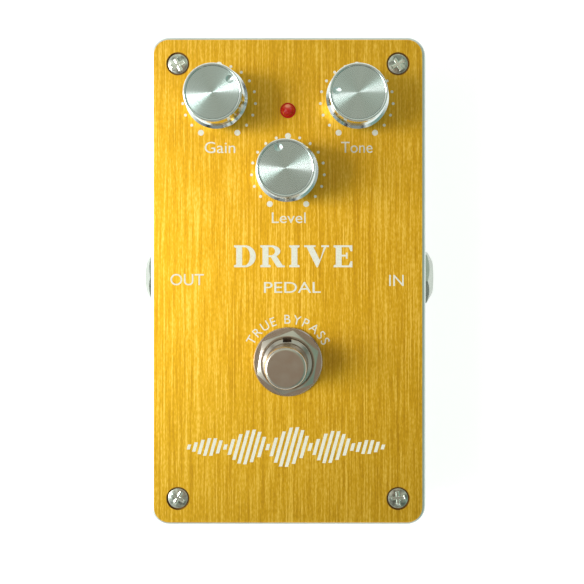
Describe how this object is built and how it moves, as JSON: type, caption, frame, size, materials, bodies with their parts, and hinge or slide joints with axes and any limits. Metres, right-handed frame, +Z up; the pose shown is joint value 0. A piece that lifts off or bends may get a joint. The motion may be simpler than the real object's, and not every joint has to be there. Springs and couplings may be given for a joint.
{
  "type": "guitar effects pedal",
  "caption": "Floor effects pedal: low metal box with a brushed faceplate, turning knobs, a round foot switch and side jack sockets.",
  "frame": {"origin": "on the ground under the middle of the box", "axes": "+X towards the input jack, +Y towards the far end with the power socket, +Z up"},
  "size_m": [0.0742, 0.122, 0.047],
  "materials": {
    "cast_body": "satin silver paint over die-cast metal",
    "gold_anodised": "gold anodised, brushed lengthwise",
    "cover_metal": "satin silver paint on sheet",
    "knob_chrome": "bright chrome",
    "spun_metal": "spun with fine circular lines",
    "switch_nickel": "satin nickel",
    "jack_nickel": "bright nickel",
    "screw_steel": "nickel plated steel",
    "shaft_metal": "machined",
    "spring_steel": "drawn wire",
    "contact_metal": "bare phosphor bronze",
    "lead_metal": "tinned",
    "black_plastic": "moulded",
    "blue_plastic": "moulded",
    "lamp_red": "clear tinted resin",
    "rubber": "moulded",
    "board_green": "solder mask",
    "cable_grey": "extruded",
    "wire_red": "extruded",
    "film_red": "dipped",
    "sleeve_black": "shrink sleeve",
    "resistor_blue": "lacquered"
  },
  "bodies": {
    "case": {"bottom_cover": "cover_metal", "bottom_cover_screws": "screw_steel", "dc_jack_housing": "black_plastic", "dc_jack_pin": "jack_nickel", "dc_jack_spring": "contact_metal", "electrolytic_capacitors": "sleeve_black", "enclosure_body": "cast_body", "faceplate": "gold_anodised", "faceplate_screws": "screw_steel", "film_capacitors": "film_red", "footswitch_base": "black_plastic", "footswitch_bushing": "switch_nickel", "footswitch_contacts": "contact_metal", "footswitch_housing": "blue_plastic", "footswitch_lock_nut": "switch_nickel", "footswitch_nut": "switch_nickel", "footswitch_spring": "spring_steel", "footswitch_terminals": "lead_metal", "footswitch_washer": "switch_nickel", "gain_pot": "black_plastic", "input_jack_bushing": "jack_nickel", "input_jack_contacts": "contact_metal", "input_jack_housing": "black_plastic", "input_jack_nut": "jack_nickel", "input_jack_washer": "jack_nickel", "input_jack_wires": "wire_red", "integrated_circuits": "black_plastic", "led": "lamp_red", "led_leads": "lead_metal", "led_spacer": "black_plastic", "level_pot": "black_plastic", "main_board": "board_green", "output_jack_bushing": "jack_nickel", "output_jack_contacts": "contact_metal", "output_jack_housing": "black_plastic", "output_jack_nut": "jack_nickel", "output_jack_washer": "jack_nickel", "output_jack_wires": "wire_red", "pot_nuts": "switch_nickel", "pot_washers": "switch_nickel", "resistors": "resistor_blue", "ribbon_cable": "cable_grey", "rubber_feet": "rubber", "switch_board": "board_green", "tone_pot": "black_plastic"},
    "gain_dial": {"gain_knob": "knob_chrome", "gain_knob_cap": "spun_metal", "gain_pot_shaft": "shaft_metal"},
    "tone_dial": {"tone_knob": "knob_chrome", "tone_knob_cap": "spun_metal", "tone_pot_shaft": "shaft_metal"},
    "level_dial": {"level_knob": "knob_chrome", "level_knob_cap": "spun_metal", "level_pot_shaft": "shaft_metal"},
    "footswitch_button": {"footswitch_plunger": "switch_nickel"}
  },
  "joints": [
    {"name": "gain_turn", "type": "hinge", "parent": "case", "child": "gain_dial", "pos_m": [-0.0171, 0.0447, 0.031], "axis": [0, 0, 1], "range_deg": [-97.4, 202.6]},
    {"name": "tone_turn", "type": "hinge", "parent": "case", "child": "tone_dial", "pos_m": [0.0171, 0.0447, 0.031], "axis": [0, 0, 1], "range_deg": [-235.4, 64.6]},
    {"name": "level_turn", "type": "hinge", "parent": "case", "child": "level_dial", "pos_m": [0, 0.027, 0.031], "axis": [0, 0, 1], "range_deg": [-168.9, 131.1]},
    {"name": "footswitch_press", "type": "slide", "parent": "case", "child": "footswitch_button", "axis": [0, 0, -1], "range_m": [0, 0.003], "stiffness_N_per_m": 3000, "springref_m": -0.003, "deforming": ["footswitch_spring"]}
  ]
}
